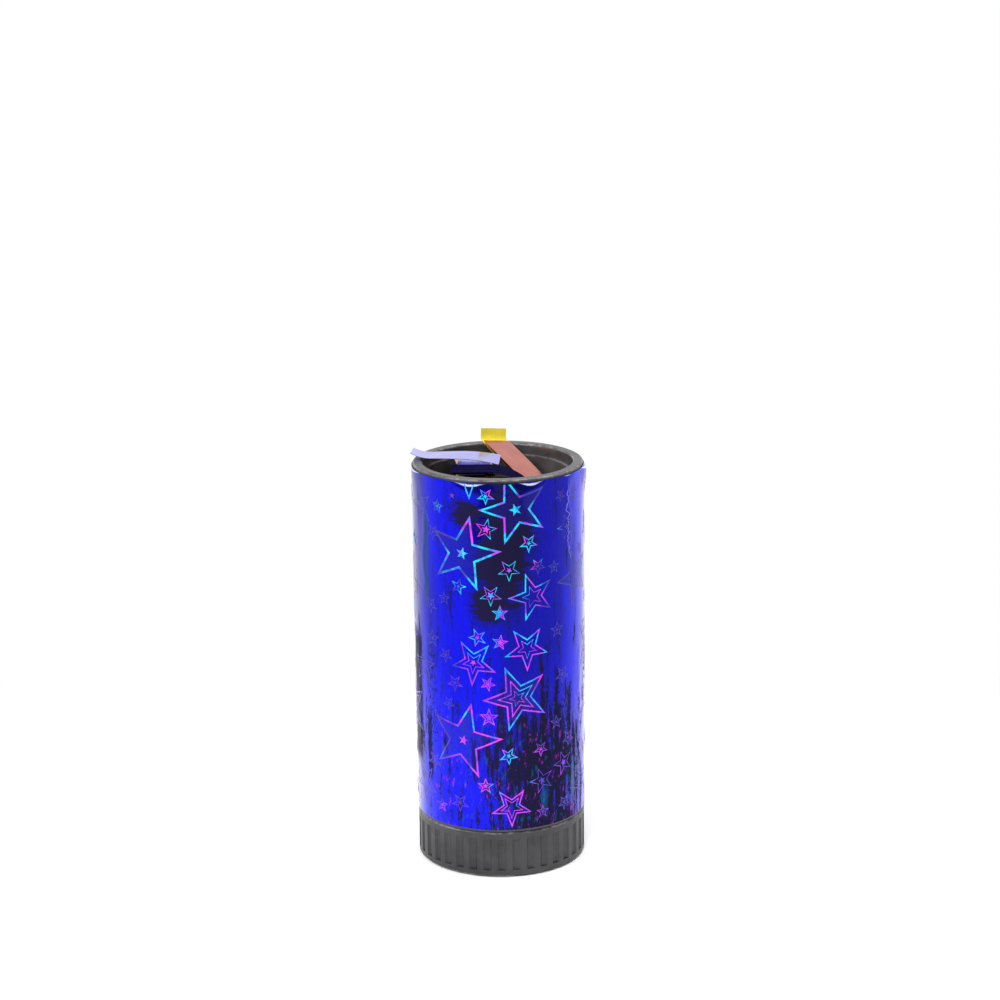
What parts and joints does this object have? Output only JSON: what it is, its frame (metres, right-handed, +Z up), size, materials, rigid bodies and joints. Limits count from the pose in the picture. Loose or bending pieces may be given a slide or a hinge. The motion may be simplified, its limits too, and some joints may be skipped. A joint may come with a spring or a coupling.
{
  "type": "confetti popper",
  "caption": "Spring confetti popper: a foil-wrapped barrel on a fluted twist base; turning the base frees a sprung piston that throws foil slips out of the open mouth.",
  "frame": {"origin": "centre of the foot ring, on the surface that the popper stands on", "axes": "+Z up along the barrel to the mouth, -Y the front of the picture"},
  "size_m": [0.0506, 0.0501, 0.1234],
  "materials": {
    "black_plastic": "satin black moulded plastic",
    "base_plastic": "satin black moulded plastic with a fine grain",
    "grey_plastic": "plain dark grey moulded plastic",
    "blue_foil": "metallised holographic blue film with outlined stars",
    "spring_steel": "bright drawn spring wire",
    "black_card": "dark matte card",
    "blue_slip": "metallised blue film",
    "copper_slip": "metallised copper film",
    "gold_slip": "metallised gold film",
    "purple_slip": "metallised purple film"
  },
  "bodies": {
    "barrel": {"barrel_tube": "black_plastic", "foil_wrap": "blue_foil", "guide_sleeve": "black_plastic", "rim_slip_blue": "blue_slip", "rim_slip_copper": "copper_slip", "rim_slip_gold": "gold_slip"},
    "base": {"twist_base": "base_plastic", "base_plate": "base_plastic", "latch_post": "grey_plastic", "spring": "spring_steel"},
    "piston": {"piston": "grey_plastic", "wad_disc": "black_card", "confetti_blue": "blue_slip", "confetti_copper": "copper_slip", "confetti_gold": "gold_slip", "confetti_purple": "purple_slip"}
  },
  "joints": [
    {"name": "base_twist", "type": "hinge", "parent": "barrel", "child": "base", "pos_m": [0, 0, 0], "axis": [0, 0, 1], "range_deg": [-75, 0]},
    {"name": "piston_slide", "type": "slide", "parent": "barrel", "child": "piston", "axis": [0, 0, 1], "range_m": [-0.065, 0], "stiffness_N_per_m": 172, "springref_m": 0.004, "deforming": ["spring"]}
  ]
}
